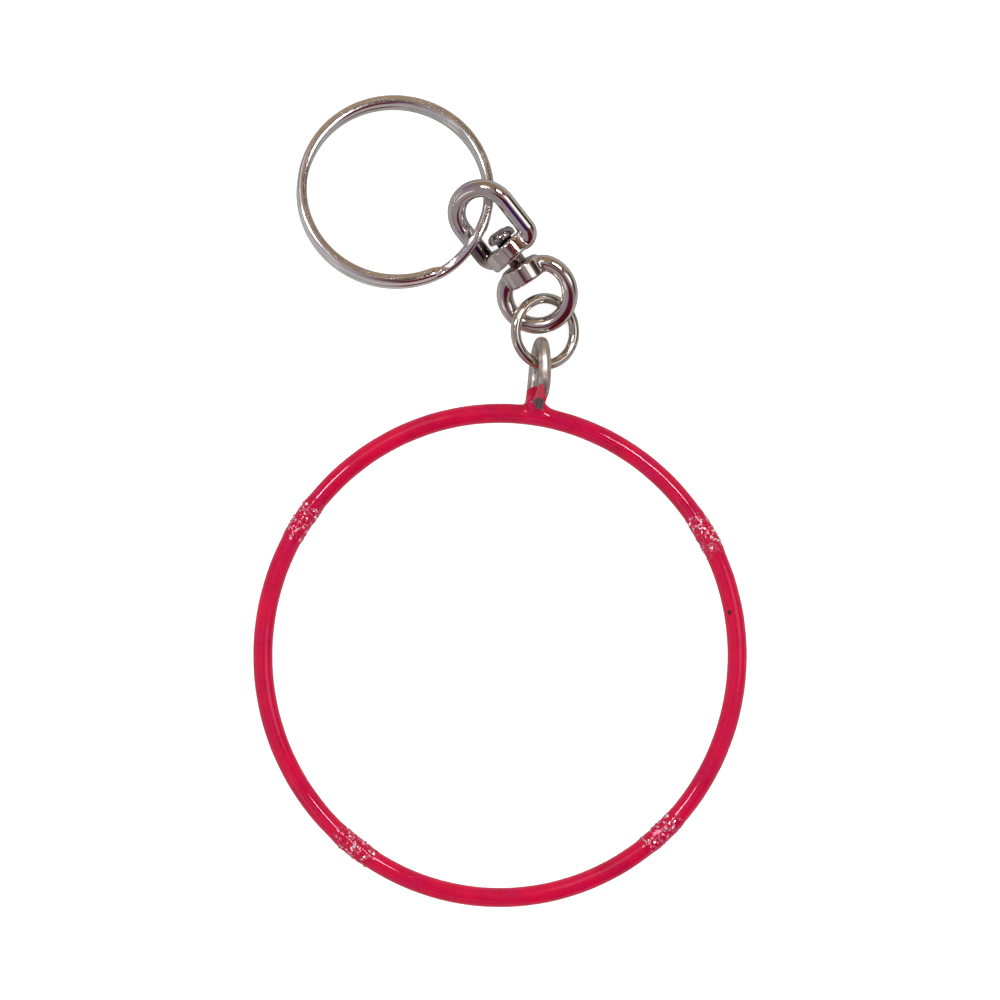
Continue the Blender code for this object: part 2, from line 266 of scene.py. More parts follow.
def placed(points, matrix):
    """Points moved by a placement."""
    table = np.array(matrix)
    return np.asarray(points) @ table[:3, :3].T + table[:3, 3]


def add_piece(name, points, faces, body, nodes, materials, placement=None, normals=None):
    """Mesh piece that rides on a body and stands for CAD nodes."""
    if placement is not None:
        points = placed(points, placement)
        if normals is not None:
            normals = normals @ np.array(placement)[:3, :3].T
    data = bpy.data.meshes.new(name)
    data.from_pydata((np.asarray(points) * MM).tolist(), [], [list(face) for face in faces])
    data.validate()
    data.shade_smooth()
    for material in materials:
        data.materials.append(material)
    if normals is not None:
        data.normals_split_custom_set_from_vertices(normals.tolist())
    piece = bpy.data.objects.new(name, data)
    bpy.context.collection.objects.link(piece)
    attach(piece, body)
    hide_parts(*nodes)
    return piece


def tube_faces(rings, sides, closed):
    """Faces of a tube of rings of points, with caps at the ends of an open one."""
    faces = []
    for ring in range(rings if closed else rings - 1):
        here, after = ring * sides, (ring + 1) % rings * sides
        for side in range(sides):
            beside = (side + 1) % sides
            faces.append((here + side, after + side, after + beside, here + beside))
    if not closed:
        faces.append(tuple(range(sides)))
        faces.append(tuple(reversed(range((rings - 1) * sides, rings * sides))))
    return faces


def sweep(curve, radii, sides=WIRE_SIDES, closed=True):
    """Points and faces of a round wire along a curve that lies close to the XY plane."""
    curve = np.asarray(curve)
    if closed:
        tangents = np.roll(curve, -1, axis=0) - np.roll(curve, 1, axis=0)
    else:
        tangents = np.gradient(curve, axis=0)
    tangents /= np.linalg.norm(tangents, axis=1)[:, None]
    across = np.cross(tangents, (0.0, 0.0, 1.0))
    across /= np.linalg.norm(across, axis=1)[:, None]
    above = np.cross(across, tangents)
    angles = np.arange(sides) * math.tau / sides
    outward = np.cos(angles)[None, :, None] * across[:, None, :]
    upward = np.sin(angles)[None, :, None] * above[:, None, :]
    radii = np.broadcast_to(radii, (len(curve), sides))
    points = curve[:, None, :] + radii[:, :, None] * (outward + upward)
    return points.reshape(-1, 3), tube_faces(len(curve), sides, closed)


def turned(profile, steps):
    """Points and faces of a solid turned about the Y axis, from (radius, height) points."""
    angles = np.arange(steps) * math.tau / steps
    points = [
        (radius * math.cos(angle), height, radius * math.sin(angle))
        for radius, height in profile
        for angle in angles
    ]
    return np.array(points), tube_faces(len(profile), steps, closed=False)


def smooth_min(first, second, blend):
    """Smaller of two fields, rounded where they meet."""
    near = np.maximum(blend - np.abs(first - second), 0.0) / blend
    return np.minimum(first, second) - near * near * blend / 4.0


def smooth_max(first, second, blend):
    """Larger of two fields, rounded where they meet."""
    return -smooth_min(-first, -second, blend)


def plane_distance(x, y, curve):
    """Distance in the XY plane from points to a run of straight pieces."""
    nearest = np.full(np.broadcast(x, y).shape, np.inf)
    for start, end in zip(curve, curve[1:]):
        span = end - start
        share = ((x - start[0]) * span[0] + (y - start[1]) * span[1]) / (span @ span)
        share = np.clip(share, 0.0, 1.0)
        gap = (x - start[0] - share * span[0]) ** 2 + (y - start[1] - share * span[1]) ** 2
        nearest = np.minimum(nearest, gap)
    return np.sqrt(nearest)


def space_distance(x, y, z, curve):
    """Distance in space from points to a run of straight pieces."""
    nearest = np.full(np.broadcast(x, y, z).shape, np.inf)
    for start, end in zip(curve, curve[1:]):
        span = end - start
        share = (x - start[0]) * span[0] + (y - start[1]) * span[1] + (z - start[2]) * span[2]
        share = np.clip(share / (span @ span), 0.0, 1.0)
        gap = (x - start[0] - share * span[0]) ** 2
        gap = gap + (y - start[1] - share * span[1]) ** 2
        gap = gap + (z - start[2] - share * span[2]) ** 2
        nearest = np.minimum(nearest, gap)
    return np.sqrt(nearest)


def gradient(field, points):
    """Unit gradients of a field at points."""
    slopes = []
    for axis in range(3):
        shift = np.zeros(3)
        shift[axis] = GRADIENT_STEP
        slopes.append(field(*(points + shift).T) - field(*(points - shift).T))
    slopes = np.stack(slopes, axis=1)
    return slopes / np.maximum(np.linalg.norm(slopes, axis=1), 1e-9)[:, None]


def implicit_solid(field, low, high, cell):
    """Points, faces and normals of the surface where a field is zero, by surface nets."""
    low, high = np.array(low), np.array(high)
    counts = np.ceil((high - low) / cell).astype(int) + 1
    lines = [low[axis] + cell * np.arange(counts[axis]) for axis in range(3)]
    grid = np.meshgrid(*lines, indexing="ij", sparse=True)
    inside = np.broadcast_to(field(*grid), counts) < 0.0
    corners = [inside[a : counts[0] - 1 + a, b : counts[1] - 1 + b, c : counts[2] - 1 + c]
               for a in (0, 1) for b in (0, 1) for c in (0, 1)]
    full = sum(corner.astype(int) for corner in corners)
    mixed = (full > 0) & (full < 8)
    number = np.full(mixed.shape, -1)
    number[mixed] = np.arange(mixed.sum())
    points = low + cell * (np.argwhere(mixed) + 0.5)
    for _ in range(4):
        slopes = gradient(field, points)
        points = points - np.clip(field(*points.T), -cell, cell)[:, None] * slopes
    faces = []
    for axis in range(3):
        first, second = (axis + 1) % 3, (axis + 2) % 3
        here = np.take(inside, range(counts[axis] - 1), axis)
        there = np.take(inside, range(1, counts[axis]), axis)
        crossing = np.argwhere(here != there)
        leaving = here[tuple(crossing.T)]
        around = []
        for back_first, back_second in ((0, 0), (1, 0), (1, 1), (0, 1)):
            place = crossing.copy()
            place[:, first] -= back_first
            place[:, second] -= back_second
            around.append(number[tuple(place.T)])
        quads = np.stack(around, axis=1)
        quads[~leaving] = quads[~leaving][:, ::-1]
        faces.append(quads)
    return points, np.vstack(faces).tolist(), gradient(field, points)


# ---------------------------------------------------------------- shader tools


def add_node(tree, kind, inputs=None, **settings):
    """Shader node with its settings, and its inputs set or linked."""
    made = tree.nodes.new(kind)
    for key, value in settings.items():
        setattr(made, key, value)
    for key, value in (inputs or {}).items():
        if isinstance(value, bpy.types.NodeSocket):
            tree.links.new(value, made.inputs[key])
        else:
            made.inputs[key].default_value = value
    return made


def new_material(name):
    """Material and its Principled shader."""
    material = bpy.data.materials.new(name)
    material.use_nodes = True
    return material, material.node_tree, material.node_tree.nodes["Principled BSDF"]


def object_place(tree):
    """Coordinates in metres, fixed to the object."""
    return add_node(tree, "ShaderNodeTexCoord").outputs["Object"]


def noise(tree, place, size, detail=3.0, roughness=0.55):
    """Noise whose features are about size millimetres across."""
    inputs = {"Vector": place, "Scale": 1.0 / (size * MM), "Detail": detail, "Roughness": roughness}
    return add_node(tree, "ShaderNodeTexNoise", inputs).outputs["Fac"]


def remap(tree, value, from_low, from_high, to_low=0.0, to_high=1.0):
    """Value stretched from one range to another."""
    inputs = {"Value": value, "From Min": from_low, "From Max": from_high}
    inputs.update({"To Min": to_low, "To Max": to_high})
    return add_node(tree, "ShaderNodeMapRange", inputs).outputs["Result"]


def mix_colour(tree, factor, first, second):
    """Colour between two colours."""
    mixer = add_node(tree, "ShaderNodeMix", data_type="RGBA")
    for socket, value in ((mixer.inputs[0], factor), (mixer.inputs[6], first), (mixer.inputs[7], second)):
        if isinstance(value, bpy.types.NodeSocket):
            tree.links.new(value, socket)
        elif isinstance(value, tuple):
            socket.default_value = (*value, 1.0)
        else:
            socket.default_value = value
    return mixer.outputs[2]


def bump(tree, height, depth, strength=1.0, normal=None):
    """Bump of a depth in millimetres."""
    inputs = {"Height": height, "Distance": depth * MM, "Strength": strength}
    if normal is not None:
        inputs["Normal"] = normal
    return add_node(tree, "ShaderNodeBump", inputs).outputs["Normal"]


def math_node(tree, operation, first, second):
    """One arithmetic step."""
    made = add_node(tree, "ShaderNodeMath", operation=operation)
    for socket, value in zip(made.inputs, (first, second)):
        if isinstance(value, bpy.types.NodeSocket):
            tree.links.new(value, socket)
        else:
            socket.default_value = value
    return made.outputs[0]


def vector_node(tree, operation, inputs, output="Vector"):
    """One step of vector arithmetic."""
    return add_node(tree, "ShaderNodeVectorMath", inputs, operation=operation).outputs[output]


def spot(tree, place, centre, radius, raggedness, core):
    """1 inside the core of a ragged spot round a point, fading to 0 outside it."""
    target = tuple(Vector(centre) * MM)
    gap = vector_node(tree, "DISTANCE", {0: place, 1: target}, "Value")
    wobble = math_node(tree, "MULTIPLY", noise(tree, place, radius), raggedness * MM)
    ragged = math_node(tree, "ADD", gap, wobble)
    return remap(tree, ragged, radius * MM, core * radius * MM)


# ---------------------------------------------------------------- materials


def crimson_enamel():
    """Thick glossy enamel: cloudy, streaky depth, a soft orange peel, dust and one dark chip."""
    material, tree, shader = new_material("crimson_enamel_paint")
    place = object_place(tree)
    clouds = remap(tree, noise(tree, place, 5.0), 0.35, 0.65)
    colour = mix_colour(tree, clouds, (0.34, 0.0018, 0.030), (0.48, 0.0026, 0.034))
    streaks = remap(tree, noise(tree, place, 0.7, 4.0), 0.45, 0.75, 0.0, 0.35)
    colour = mix_colour(tree, streaks, colour, (0.54, 0.007, 0.050))
    bluish = remap(tree, noise(tree, place, 3.1, 2.0), 0.50, 0.70, 0.0, 0.5)
    colour = mix_colour(tree, bluish, colour, (0.38, 0.0040, 0.064))
    grain = remap(tree, noise(tree, place, 0.22, 2.0), 0.40, 0.70, 0.0, 0.30)
    colour = mix_colour(tree, grain, colour, (0.58, 0.012, 0.052))
    dust = remap(tree, noise(tree, place, 0.16, 1.0), 0.74, 0.78)
    colour = mix_colour(tree, dust, colour, (0.20, 0.004, 0.020))
    chip_centre = hoop_surface(CHIP_ALONG, CHIP_AROUND)
    chip = spot(tree, place, chip_centre, CHIP_RADIUS, CHIP_RAGGEDNESS, CHIP_CORE)
    colour = mix_colour(tree, chip, colour, (0.05, 0.012, 0.012))
    tree.links.new(colour, shader.inputs["Base Color"])
    rough = remap(tree, noise(tree, place, 1.6), 0.3, 0.7, 0.16, 0.30)
    tree.links.new(rough, shader.inputs["Roughness"])
    shader.inputs["Specular IOR Level"].default_value = 0.0
    shader.inputs["Coat Weight"].default_value = 1.0
    shader.inputs["Coat Roughness"].default_value = 0.03
    shader.inputs["Coat IOR"].default_value = 1.42
    peel = bump(tree, noise(tree, place, 1.1, 1.0), 0.03, 0.35)
    grit = bump(tree, dust, 0.02, 0.6, peel)
    tree.links.new(bump(tree, chip, -0.05, 1.0, grit), shader.inputs["Normal"])
    tree.links.new(peel, shader.inputs["Coat Normal"])
    return material


def glitter_flakes():
    """Foil flakes, each with its own tint."""
    material, tree, shader = new_material("glitter_flakes")
    tint = add_node(tree, "ShaderNodeAttribute", attribute_name="tint").outputs["Color"]
    grain = remap(tree, noise(tree, object_place(tree), 0.05), 0.3, 0.7, 0.12, 0.32)
    tree.links.new(tint, shader.inputs["Base Color"])
    tree.links.new(grain, shader.inputs["Roughness"])
    shader.inputs["Metallic"].default_value = 0.45
    return material


def glitter_varnish():
    """Lumpy clear varnish over the crimson, dulled by the finest glitter."""
    material, tree, shader = new_material("glitter_varnish_coat")
    place = object_place(tree)
    specks = add_node(tree, "ShaderNodeTexVoronoi", {"Vector": place, "Scale": 1.0 / (0.11 * MM)})
    sparkle = remap(tree, specks.outputs["Distance"], 0.28, 0.20)
    colour = mix_colour(tree, sparkle, (0.40, 0.0022, 0.032), (0.50, 0.014, 0.055))
    tree.links.new(colour, shader.inputs["Base Color"])
    shader.inputs["Roughness"].default_value = 0.30
    shader.inputs["Specular IOR Level"].default_value = 0.0
    shader.inputs["Coat Weight"].default_value = 1.0
    shader.inputs["Coat Roughness"].default_value = 0.04
    tree.links.new(bump(tree, noise(tree, place, 0.25), 0.04), shader.inputs["Normal"])
    return material


def painted_part(tree, place):
    """1 where enamel has run up the wire of the eye, and 0 where its steel is bare."""
    split = add_node(tree, "ShaderNodeSeparateXYZ", {"Vector": place})
    across, along, height = split.outputs
    below, above = EYE_CENTRE.z - PAINT_LEVEL_SOFTNESS, EYE_CENTRE.z + PAINT_LEVEL_SOFTNESS
    upper = remap(tree, height, below * MM, above * MM)
    left, right = ((EYE_CENTRE.x + shift) * MM for shift in PAINT_SIDE_SPAN)
    front = remap(tree, across, left, right, PAINT_UPPER_END * MM, PAINT_SIDE_END * MM)
    rise = math_node(tree, "SUBTRACT", front, PAINT_LOWER_END * MM)
    end = math_node(tree, "ADD", math_node(tree, "MULTIPLY", rise, upper), PAINT_LOWER_END * MM)
    ragged = math_node(tree, "MULTIPLY", noise(tree, place, 0.55, 4.0), PAINT_RAGGEDNESS * MM)
    beyond = math_node(tree, "SUBTRACT", math_node(tree, "ADD", along, ragged), end)
    bare, covered = PAINT_RIM
    return remap(tree, beyond, bare * MM, covered * MM)


def dull_steel():
    """Bare steel wire, matt and stained, with enamel that has run up it from its foot."""
    material, tree, shader = new_material("dull_steel_wire")
    place = object_place(tree)
    clouds = remap(tree, noise(tree, place, 0.9), 0.35, 0.7)
    colour = mix_colour(tree, clouds, (0.58, 0.56, 0.51), (0.84, 0.83, 0.79))
    stain = remap(tree, noise(tree, place, 1.7, 2.0), 0.52, 0.66, 0.0, 0.6)
    colour = mix_colour(tree, stain, colour, (0.52, 0.36, 0.24))
    moss = remap(tree, noise(tree, place, 1.3, 1.0), 0.60, 0.70, 0.0, 0.5)
    colour = mix_colour(tree, moss, colour, (0.40, 0.52, 0.34))
    paint = painted_part(tree, place)
    red = mix_colour(tree, clouds, (0.36, 0.0022, 0.026), (0.54, 0.0036, 0.042))
    colour = mix_colour(tree, paint, colour, red)
    tree.links.new(colour, shader.inputs["Base Color"])
    tree.links.new(remap(tree, paint, 0.0, 1.0, 1.0, 0.0), shader.inputs["Metallic"])
    rough = remap(tree, noise(tree, place, 0.4), 0.3, 0.7, 0.33, 0.47)
    tree.links.new(rough, shader.inputs["Roughness"])
    tree.links.new(paint, shader.inputs["Coat Weight"])
    lengthwise = add_node(tree, "ShaderNodeMapping", {"Vector": place, "Scale": (1.0, 0.08, 1.0)})
    lines = noise(tree, lengthwise.outputs["Vector"], 0.09, 2.0)
    drawn = bump(tree, lines, 0.012, 0.6)
    tree.links.new(bump(tree, paint, 0.05, 0.8, drawn), shader.inputs["Normal"])
    return material


def cut_end():
    """Torn, dark face where the wire was snipped."""
    material, tree, shader = new_material("snipped_wire_end")
    place = object_place(tree)
    clouds = remap(tree, noise(tree, place, 0.35), 0.35, 0.65)
    colour = mix_colour(tree, clouds, (0.06, 0.055, 0.055), (0.24, 0.21, 0.21))
    tree.links.new(colour, shader.inputs["Base Color"])
    shader.inputs["Metallic"].default_value = 0.7
    shader.inputs["Roughness"].default_value = 0.5
    tree.links.new(bump(tree, noise(tree, place, 0.2, 4.0), 0.08), shader.inputs["Normal"])
    return material


def nickel_plate(name, tone, roughness, painted_shade_spots=()):
    """Bright plate with hairline scratches, haze and tiny pits, and painted shade round the given points.
    """
    material, tree, shader = new_material(name)
    place = object_place(tree)
    haze = remap(tree, noise(tree, place, 2.2, 2.0), 0.35, 0.7)
    darker = tuple(0.86 * channel for channel in tone)
    colour = mix_colour(tree, haze, tone, darker)
    for centre, radius in painted_shade_spots:
        # Painted shade: the plate fades to a dark colour round each spot, standing in for the shadow in
        # the swivel's corners.
        near = spot(tree, place, centre, radius, CREASE_SHADE_RAGGEDNESS, CREASE_SHADE_CORE)
        colour = mix_colour(tree, math_node(tree, "MULTIPLY", near, CREASE_SHADE_STRENGTH), colour, CREASE_SHADE_COLOUR)
    pits = remap(tree, noise(tree, place, 0.12, 1.0), 0.73, 0.78)
    colour = mix_colour(tree, pits, colour, (0.22, 0.18, 0.14))
    tree.links.new(colour, shader.inputs["Base Color"])
    shader.inputs["Metallic"].default_value = 1.0
    rough = remap(tree, noise(tree, place, 0.8), 0.3, 0.75, roughness, roughness + 0.09)
    tree.links.new(rough, shader.inputs["Roughness"])
    normal = bump(tree, noise(tree, place, 1.8, 1.0), 0.006, 0.4)
    for scale in ((1.0, 0.03, 1.0), (0.03, 1.0, 0.6)):
        stretched = add_node(tree, "ShaderNodeMapping", {"Vector": place, "Scale": scale})
        hairs = remap(tree, noise(tree, stretched.outputs["Vector"], 0.10, 2.0), 0.62, 0.74)
        normal = bump(tree, hairs, 0.002, 0.15, normal)
    tree.links.new(bump(tree, pits, -0.006, 0.2, normal), shader.inputs["Normal"])
    return material


def floor_white():
    """Plain pale floor, lit through from below, and greyer in what shiny things mirror of it."""
    material, tree, shader = new_material("pale_floor")
    path = add_node(tree, "ShaderNodeLightPath")
    colour = mix_colour(tree, path.outputs["Is Glossy Ray"], (0.90, 0.90, 0.90), (0.34, 0.325, 0.31))
    tree.links.new(colour, shader.inputs["Base Color"])
    shader.inputs["Emission Color"].default_value = (1.0, 1.0, 1.0, 1.0)
    glow = math_node(tree, "MULTIPLY", path.outputs["Is Camera Ray"], FLOOR_GLOW)
    tree.links.new(glow, shader.inputs["Emission Strength"])
    shader.inputs["Roughness"].default_value = 0.9
    shader.inputs["Specular IOR Level"].default_value = 0.1
    return material


# ---------------------------------------------------------------- pieces


def hoop_point(angle):
    """Point on the hoop's centreline."""
    turn = math.radians(angle)
    return HOOP_CENTRE + Vector((HOOP_HALF_WIDTH * math.cos(turn), HOOP_HALF_LENGTH * math.sin(turn), 0.0))


def hoop_spoke(angle, turn):
    """Unit vector out from the hoop's wire, turned from its outer side over the top."""
    tangent = (hoop_point(angle + 0.5) - hoop_point(angle - 0.5)).normalized()
    across = tangent.cross(Vector((0.0, 0.0, 1.0)))
    return math.cos(turn) * across + Vector((0.0, 0.0, math.sin(turn)))


def hoop_surface(angle, around):
    """Point on the hoop's enamel, by the angle along the hoop and the angle round its wire."""
    return hoop_point(angle) + HOOP_WIRE_RADIUS * hoop_spoke(angle, math.radians(around))


def enamel_wave(along, around):
    """Gentle unevenness of hand-dipped enamel, from -1 to 1."""
    wave = np.sin(17.0 * along + 2.0 * around) + np.sin(41.0 * along - 3.0 * around + 1.0)
    return (wave + np.sin(7.0 * along + around + 2.0)) / 3.0


def add_hoop(enamel):
    """The enamelled hoop."""
    along = np.arange(HOOP_STEPS) * math.tau / HOOP_STEPS
    around = np.arange(HOOP_SIDES) * math.tau / HOOP_SIDES
    curve = [hoop_point(math.degrees(angle)) for angle in along]
    radii = HOOP_WIRE_RADIUS + ENAMEL_WAVE * (enamel_wave(along[:, None], around[None, :]) - 1.0)
    points, faces = sweep(curve, radii, HOOP_SIDES)
    add_piece("hoop_enamelled_wire", points, faces, "hoop_charm", ["hoop_ring"],
              [enamel])


def band_fade(share):
    """How much glitter lies at a share of the band's length, from 0 at its ends to 1."""
    return np.clip(1.3 * np.sin(math.pi * np.clip(share, 0.0, 1.0)) ** 0.8, 0.0, 1.0)


def band_coat(middle, random):
    """Varnish sleeve that thins out raggedly at both ends."""
    shares = np.linspace(0.0, 1.0, BAND_STEPS)
    around = np.arange(BAND_SIDES) * math.tau / BAND_SIDES
    phases = random.uniform(0.0, math.tau, 4)
    ragged = 0.08 * np.sin(3.0 * around + phases[0]) + 0.06 * np.sin(7.0 * around + phases[1])
    cover = band_fade(shares[:, None] + ragged[None, :] * (2.0 * shares[:, None] - 1.0))
    lumps = np.sin(34.0 * shares[:, None] + 5.0 * around + phases[2])
    lumps = lumps * np.sin(23.0 * shares[:, None] - 4.0 * around + phases[3])
    heights = (BAND_THICKNESS + BAND_ROOT) * cover * (1.0 + 0.25 * lumps)
    radii = HOOP_WIRE_RADIUS - BAND_ROOT + heights
    angles = middle + BAND_SPAN * (shares - 0.5)
    points = []
    for angle, ring in zip(angles.tolist(), radii.tolist()):
        centre = hoop_point(angle)
        points += [centre + radius * hoop_spoke(angle, turn) for radius, turn in zip(ring, around)]
    return np.array(points), tube_faces(BAND_STEPS, BAND_SIDES, closed=False)


def add_flakes(points, faces, tints, middle, random):
    """Small six-sided flakes laid at odd tilts on the varnish, each closed below by a point."""
    count = 0
    while count < FLAKES_PER_BAND:
        share = random.uniform(0.0, 1.0)
        if random.uniform(0.0, 1.0) > band_fade(share) ** 1.5:
            continue
        count += 1
        angle = middle + BAND_SPAN * FLAKE_SPREAD * (share - 0.5)
        turn = random.uniform(0.0, math.tau)
        outward = hoop_spoke(angle, turn)
        height = BAND_THICKNESS * float(band_fade(share)) * random.uniform(*FLAKE_LIFTS)
        place = hoop_point(angle) + (HOOP_WIRE_RADIUS + height) * outward
        tilt = Vector(random.normal(0.0, FLAKE_TILT, 3).tolist())
        facing = (outward + tilt).normalized()
        first = facing.orthogonal().normalized()
        second = facing.cross(first)
        size = random.uniform(*FLAKE_SIZES)
        start = len(points)
        for corner in range(FLAKE_CORNERS):
            a = math.tau * corner / FLAKE_CORNERS + turn
            points.append(place + size * (math.cos(a) * first + math.sin(a) * second))
        points.append(place - FLAKE_DEPTH * size * outward)
        rim = [start + corner for corner in range(FLAKE_CORNERS)]
        bottom = start + FLAKE_CORNERS
        faces.append(tuple(rim))
        faces += [(after, here, bottom) for here, after in zip(rim, rim[1:] + rim[:1])]
        tints += [FLAKE_TINTS[random.integers(len(FLAKE_TINTS))]] * (FLAKE_CORNERS + 1)


def add_glitter_bands(varnish, flakes):
    """Four bands of glitter varnish."""
    random = np.random.default_rng(GLITTER_SEED)
    for number, middle in enumerate(BAND_MIDDLES, start=1):
        coat_points, faces = band_coat(middle, random)
        points = [Vector(point) for point in coat_points]
        tints = [FLAKE_TINTS[0]] * len(points)
        coat_faces = len(faces)
        add_flakes(points, faces, tints, middle, random)
        piece = add_piece(
            f"glitter_coat_{number}", points, faces, "hoop_charm", [f"glitter_band_{number}"],
            [varnish, flakes],
        )
        data = piece.data
        smooth = [index < coat_faces for index in range(len(data.polygons))]
        data.polygons.foreach_set("use_smooth", smooth)
        data.polygons.foreach_set("material_index", [0 if value else 1 for value in smooth])
        colours = data.color_attributes.new("tint", "FLOAT_COLOR", "POINT")
        colours.data.foreach_set("color", [channel for tint in tints for channel in (*tint, 1.0)])


def eye_frame():
    """Placement of the hanging eye."""
    return plane_frame(EYE_CENTRE, EYE_AZIMUTH, roll=EYE_ROLL)


def eye_curve():
    """Centreline of the hanging eye, from its cut upper end round the top to the lower end."""
    straight = math.radians(EYE_STRAIGHT_FROM)
    corner = Vector((EYE_HALF_HEIGHT * math.sin(straight), EYE_HALF_LENGTH * math.cos(straight), 0.0))
    heading = Vector((EYE_HALF_HEIGHT * math.cos(straight), -EYE_HALF_LENGTH * math.sin(straight), 0.0))
    per_degree = heading * math.radians(1.0)
    points = []
    for step in range(EYE_STEPS + 1):
        share = step / EYE_STEPS
        angle = EYE_START + (EYE_END - EYE_START) * share
        turn = math.radians(angle)
        point = Vector((EYE_HALF_HEIGHT * math.sin(turn), EYE_HALF_LENGTH * math.cos(turn), 0.0))
        if angle > EYE_STRAIGHT_FROM:
            point = corner + per_degree * (angle - EYE_STRAIGHT_FROM) * EYE_STRAIGHT_SCALE
        low = max(-point.y / EYE_HALF_LENGTH, 0.0)
        point.z = EYE_PITCH * (share - 0.5) + EYE_FOOT_LEAN * low * low
        if angle > EYE_STRAIGHT_FROM:
            point.z += EYE_END_LEAN * (angle - EYE_STRAIGHT_FROM) / (EYE_START - EYE_STRAIGHT_FROM)
        points.append(point)
    return points


def eye_cut(curve):
    """Middle and outward normal of the slanting cut at the eye's upper end."""
    tangent = np.array((curve[1] - curve[0]).normalized())
    return np.array(curve[0]) + EYE_CUT_BACK * tangent, np.array(EYE_CUT_NORMAL)


def add_hanging_eye(steel, snipped):
    """The wire eye, its upper end cut at a slant."""
    curve = eye_curve()
    points, faces = sweep(curve, EYE_WIRE_RADIUS, closed=False)
    tangent = np.array((curve[1] - curve[0]).normalized())
    anchor, normal = eye_cut(curve)
    near_end = np.linalg.norm(points - anchor, axis=1) < 4.0 * EYE_WIRE_RADIUS
    beyond = (points - anchor) @ normal
    moved = near_end & (beyond > 0.0)
    points[moved] -= (beyond[moved] / (normal @ tangent))[:, None] * tangent
    piece = add_piece("wire_eye", points, faces, "hoop_charm", ["hanging_eye"],
                      [steel, snipped], eye_frame())
    for polygon in piece.data.polygons:
        is_cap = len(polygon.vertices) > 4
        polygon.material_index = 1 if is_cap and 0 in polygon.vertices else 0
    piece.data.set_sharp_from_angle(angle=math.radians(EYE_SHARP_ANGLE))


def add_solder(enamel):
    """Solder that joins the hoop and the eye's lower foot, hollowed in front of the cut end."""
    world = placed(eye_curve(), eye_frame())[::4]
    middle = np.array(SOLDER_MIDDLE)
    foot = world[len(world) // 2 :]
    foot = foot[np.linalg.norm(foot - middle, axis=1) < 2.0 * SOLDER_REACH]
    hoop = np.array([hoop_point(angle) for angle in SOLDER_HOOP_ANGLES])
    drop = np.array([SOLDER_LOW, SOLDER_HIGH])
    cut_middle, cut_normal = eye_cut(eye_curve())
    hollow = np.array(eye_frame() @ Vector(cut_middle + 0.9 * SOLDER_HOLLOW * cut_normal))

    def field(x, y, z):
        x, y, z = np.broadcast_arrays(x, y, z)
        away = np.sqrt((x - middle[0]) ** 2 + (y - middle[1]) ** 2 + (z - middle[2]) ** 2)
        ripple = SOLDER_RIPPLE * np.sin(4.0 * x + 1.0) * np.sin(3.0 * z + y)
        fade = np.clip(SOLDER_REACH - SOLDER_FADE - away, -3.0, 1.0)
        hoop_field = space_distance(x, y, z, hoop) - HOOP_WIRE_RADIUS - HOOP_COAT * fade
        wire = space_distance(x, y, z, foot) - EYE_WIRE_RADIUS - FOOT_COAT * fade
        blob = space_distance(x, y, z, drop) - SOLDER_RADIUS + ripple
        joined = smooth_min(smooth_min(hoop_field, blob, SOLDER_BLEND), wire, 0.5 * SOLDER_BLEND)
        open_air = np.sqrt((x - hollow[0]) ** 2 + (y - hollow[1]) ** 2 + (z - hollow[2]) ** 2)
        joined = smooth_max(joined, SOLDER_HOLLOW - open_air, EDGE_BLEND)
        return smooth_max(joined, away - SOLDER_REACH, EDGE_BLEND)

    reach = SOLDER_REACH + CAST_MARGIN
    points, faces, normals = implicit_solid(field, middle - reach, middle + reach, SOLDER_CELL)
    add_piece("solder_and_enamel", points, faces, "hoop_charm", ["solder_fillet"],
              [enamel], normals=normals)


def add_link(nickel):
    """The jump link, with a hairline where its ends meet."""
    start = LINK_JOINT_ANGLE + LINK_JOINT_GAP / 2.0
    angles = np.radians(np.linspace(start, start + 360.0 - LINK_JOINT_GAP, LINK_STEPS))
    curve = np.stack([LINK_RADIUS * np.cos(angles), LINK_RADIUS * np.sin(angles), 0.0 * angles], axis=1)
    from_end = np.minimum(np.arange(LINK_STEPS), np.arange(LINK_STEPS)[::-1])
    groove = np.clip(1.0 - from_end / 2.0, 0.0, 1.0) ** 2
    radii = LINK_WIRE_RADIUS - LINK_JOINT_GROOVE * groove[:, None]
    points, faces = sweep(curve, radii, closed=False)
    add_piece("jump_link", points, faces, "link", ["connecting_link"],
              [nickel], plane_frame(LINK_CENTRE, 90.0, roll=LINK_ROLL))


def collar_field(x, y, z, radius, start, end):
    """Field of a collar along Y with chamfered rims."""
    outward = np.sqrt(x * x + z * z) - radius
    along = np.abs(y - (start + end) / 2.0) - (end - start) / 2.0
    chamfer = (outward + along + COLLAR_CHAMFER) / math.sqrt(2.0)
    return smooth_max(smooth_max(outward, along, EDGE_BLEND), chamfer, EDGE_BLEND)


def bored(field, x, y, z, radius, start, end):
    """Field with a bore along Y."""
    along = np.abs(y - (start + end) / 2.0) - (end - start) / 2.0
    bore = np.maximum(np.sqrt(x * x + z * z) - radius, along)
    return smooth_max(field, -bore, EDGE_BLEND)


def lower_swivel_frame():
    """Placement of the lower half of the swivel."""
    return plane_frame(LOWER_EYE_CENTRE, LOWER_AZIMUTH, LOWER_PITCH, LOWER_ROLL)


